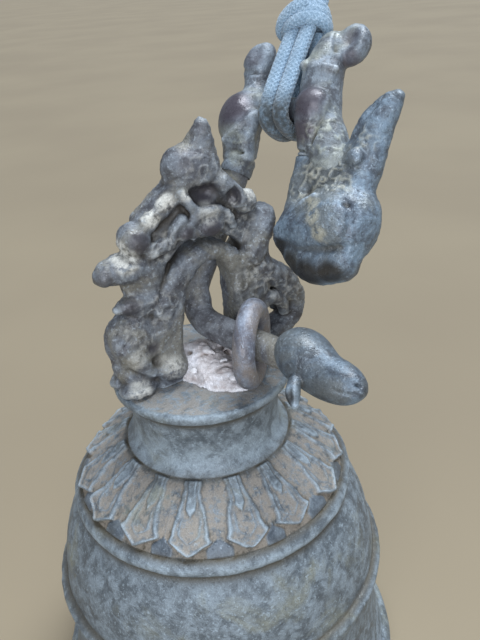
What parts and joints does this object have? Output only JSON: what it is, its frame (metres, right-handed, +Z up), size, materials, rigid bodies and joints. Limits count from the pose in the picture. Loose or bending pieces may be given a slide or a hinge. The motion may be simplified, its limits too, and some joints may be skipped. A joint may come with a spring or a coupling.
{
  "type": "temple bell",
  "caption": "Antique cast bronze temple bell with lotus shoulder, openwork crown arch, leaning C-shaped suspension hook, loose ring, clapper and cord sling.",
  "frame": {"origin": "centre of the circle of the mouth, in the plane that the bell stands on", "axes": "+Z up along the bell's axis, X along the crown arch, -Y towards the front where the hook's small head points"},
  "size_m": [0.1444, 0.1262, 0.2565],
  "materials": {
    "bell_bronze": "matte blue-grey and verdigris patina",
    "arch_bronze": "matte dark patina with earthy crust",
    "filler_metal": "crusty pinkish white oxide on soft metal",
    "iron": "rusted",
    "clapper_bronze": "dull patina, bright where it strikes",
    "ring_bronze": "smooth dark patina",
    "bar_bronze": "smooth grey patina",
    "head_bronze": "blue-grey patina with cream crust",
    "figure_bronze": "dark polished patina with green and cream crust",
    "cord": "braided cotton, faded blue-grey"
  },
  "bodies": {
    "bell": {"bell_shell": "bell_bronze", "crown_arch": "arch_bronze", "crown_plug": "filler_metal", "clapper_staple": "iron"},
    "link": {"clapper_link": "iron"},
    "clapper": {"clapper_rod": "iron", "clapper_ball": "clapper_bronze"},
    "ring": {"keeper_ring": "ring_bronze"},
    "hook": {"hook_shank": "bar_bronze", "small_head": "head_bronze", "hook_figure": "figure_bronze", "big_head": "head_bronze", "sling_strand_left": "cord", "sling_strand_right": "cord", "rising_strand_left": "cord", "rising_strand_right": "cord", "cord_knot": "cord", "end_knot": "cord"}
  },
  "joints": [
    {"name": "link_swing", "type": "hinge", "parent": "bell", "child": "link", "pos_m": [0, 0, 0.103], "axis": [1, 0, 0], "range_deg": [-8, 8]},
    {"name": "clapper_swing", "type": "hinge", "parent": "link", "child": "clapper", "pos_m": [0, 0, 0.0941], "axis": [0, 1, 0], "range_deg": [-28, 28]},
    {"name": "ring_turn", "type": "hinge", "parent": "bell", "child": "ring", "pos_m": [0.0074, -0.01872, 0.14045], "axis": [0.6947, -0.7193, 0], "continuous": true},
    {"name": "hook_lean", "type": "hinge", "parent": "bell", "child": "hook", "pos_m": [0.00264, 0.00071, 0.1405], "axis": [0.2588, -0.9659, 0], "range_deg": [-18, 18]}
  ]
}
